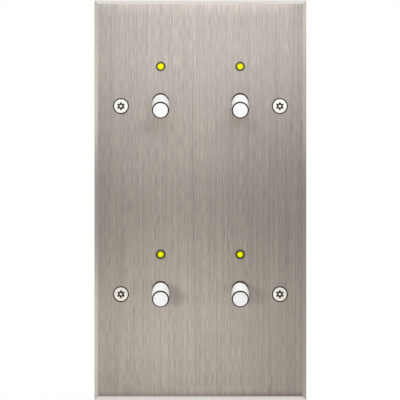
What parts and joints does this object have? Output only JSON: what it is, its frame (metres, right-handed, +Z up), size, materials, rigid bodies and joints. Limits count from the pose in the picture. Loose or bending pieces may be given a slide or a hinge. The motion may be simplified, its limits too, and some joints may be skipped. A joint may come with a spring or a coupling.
{
  "type": "switch plate",
  "caption": "Flat rectangular brushed-metal switch plate with tilting toggle levers, indicator lamps above them, and changeover switch mechanisms behind.",
  "frame": {"origin": "middle of the plate's back face, on the wall plane, at the centre of the four fixing screws", "axes": "+X to the right seen from the front, +Y into the wall, +Z up; the front faces -Y"},
  "size_m": [0.08, 0.043, 0.151],
  "materials": {
    "face_steel": "vertical brushed grain, warm grey",
    "screw_steel": "bright polished stainless",
    "zinc_steel": "zinc plated",
    "white_lever": "white moulding with a dark ring on the end's edge",
    "steel_pin": "plain ground pin",
    "spring_steel": "plain spring wire",
    "copper_strip": "bare copper strip",
    "silver_contact": "bare silver",
    "black_moulding": "fine satin moulding",
    "brass_terminal": "bare brass",
    "terminal_screw": "zinc plated",
    "yellow_lens": "clear yellow epoxy, lit",
    "tinned_wire": "tinned",
    "board_laminate": "green solder mask",
    "green_moulding": "satin moulding",
    "resistor_body": "dark glaze"
  },
  "bodies": {
    "plate": {"face_plate": "face_steel", "fixing_screws": "screw_steel", "carrier_upper": "zinc_steel", "carrier_lower": "zinc_steel", "weld_studs": "zinc_steel", "stud_nuts": "zinc_steel", "housing_screws": "zinc_steel", "board_spacers": "zinc_steel", "board_screws": "zinc_steel", "fixed_contacts": "silver_contact", "housing_upper_left": "black_moulding", "housing_upper_right": "black_moulding", "housing_lower_left": "black_moulding", "housing_lower_right": "black_moulding", "lamp_holder_upper_left": "black_moulding", "lamp_holder_upper_right": "black_moulding", "lamp_holder_lower_left": "black_moulding", "lamp_holder_lower_right": "black_moulding", "common_terminal_upper_left": "brass_terminal", "common_terminal_upper_right": "brass_terminal", "common_terminal_lower_left": "brass_terminal", "common_terminal_lower_right": "brass_terminal", "line_terminals_upper_left": "brass_terminal", "line_terminals_upper_right": "brass_terminal", "line_terminals_lower_left": "brass_terminal", "line_terminals_lower_right": "brass_terminal", "terminal_screws": "terminal_screw", "board_terminal_screws": "terminal_screw", "lamp_upper_left": "yellow_lens", "lamp_upper_right": "yellow_lens", "lamp_lower_left": "yellow_lens", "lamp_lower_right": "yellow_lens", "lamp_leads": "tinned_wire", "lamp_board_upper": "board_laminate", "lamp_board_lower": "board_laminate", "board_terminal_upper": "green_moulding", "board_terminal_lower": "green_moulding", "resistors": "resistor_body"},
    "lever_upper_left": {"lever_upper_left": "white_lever", "plunger_upper_left": "steel_pin", "plunger_spring_upper_left": "spring_steel"},
    "rocker_upper_left": {"rocker_upper_left": "copper_strip", "rocker_contacts_upper_left": "silver_contact"},
    "lever_upper_right": {"lever_upper_right": "white_lever", "plunger_upper_right": "steel_pin", "plunger_spring_upper_right": "spring_steel"},
    "rocker_upper_right": {"rocker_upper_right": "copper_strip", "rocker_contacts_upper_right": "silver_contact"},
    "lever_lower_left": {"lever_lower_left": "white_lever", "plunger_lower_left": "steel_pin", "plunger_spring_lower_left": "spring_steel"},
    "rocker_lower_left": {"rocker_lower_left": "copper_strip", "rocker_contacts_lower_left": "silver_contact"},
    "lever_lower_right": {"lever_lower_right": "white_lever", "plunger_lower_right": "steel_pin", "plunger_spring_lower_right": "spring_steel"},
    "rocker_lower_right": {"rocker_lower_right": "copper_strip", "rocker_contacts_lower_right": "silver_contact"}
  },
  "joints": [
    {"name": "lever_swing_upper_left", "type": "hinge", "parent": "plate", "child": "lever_upper_left", "pos_m": [-0.015, -0.00085, 0.03722], "axis": [-1, 0, 0], "range_deg": [0, 26]},
    {"name": "rocker_tilt_upper_left", "type": "hinge", "parent": "plate", "child": "rocker_upper_left", "pos_m": [-0.015, 0.01515, 0.03722], "axis": [1, 0, 0], "range_deg": [0, 16]},
    {"name": "lever_swing_upper_right", "type": "hinge", "parent": "plate", "child": "lever_upper_right", "pos_m": [0.015, -0.00085, 0.03722], "axis": [-1, 0, 0], "range_deg": [0, 26]},
    {"name": "rocker_tilt_upper_right", "type": "hinge", "parent": "plate", "child": "rocker_upper_right", "pos_m": [0.015, 0.01515, 0.03722], "axis": [1, 0, 0], "range_deg": [0, 16]},
    {"name": "lever_swing_lower_left", "type": "hinge", "parent": "plate", "child": "lever_lower_left", "pos_m": [-0.015, -0.00085, -0.03378], "axis": [-1, 0, 0], "range_deg": [0, 26]},
    {"name": "rocker_tilt_lower_left", "type": "hinge", "parent": "plate", "child": "rocker_lower_left", "pos_m": [-0.015, 0.01515, -0.03378], "axis": [1, 0, 0], "range_deg": [0, 16]},
    {"name": "lever_swing_lower_right", "type": "hinge", "parent": "plate", "child": "lever_lower_right", "pos_m": [0.015, -0.00085, -0.03378], "axis": [-1, 0, 0], "range_deg": [0, 26]},
    {"name": "rocker_tilt_lower_right", "type": "hinge", "parent": "plate", "child": "rocker_lower_right", "pos_m": [0.015, 0.01515, -0.03378], "axis": [1, 0, 0], "range_deg": [0, 16]}
  ],
  "couplings": [
    {"joint": "rocker_tilt_upper_left", "follows": "lever_swing_upper_left", "ratio": 0.61538},
    {"joint": "rocker_tilt_upper_right", "follows": "lever_swing_upper_right", "ratio": 0.61538},
    {"joint": "rocker_tilt_lower_left", "follows": "lever_swing_lower_left", "ratio": 0.61538},
    {"joint": "rocker_tilt_lower_right", "follows": "lever_swing_lower_right", "ratio": 0.61538}
  ]
}
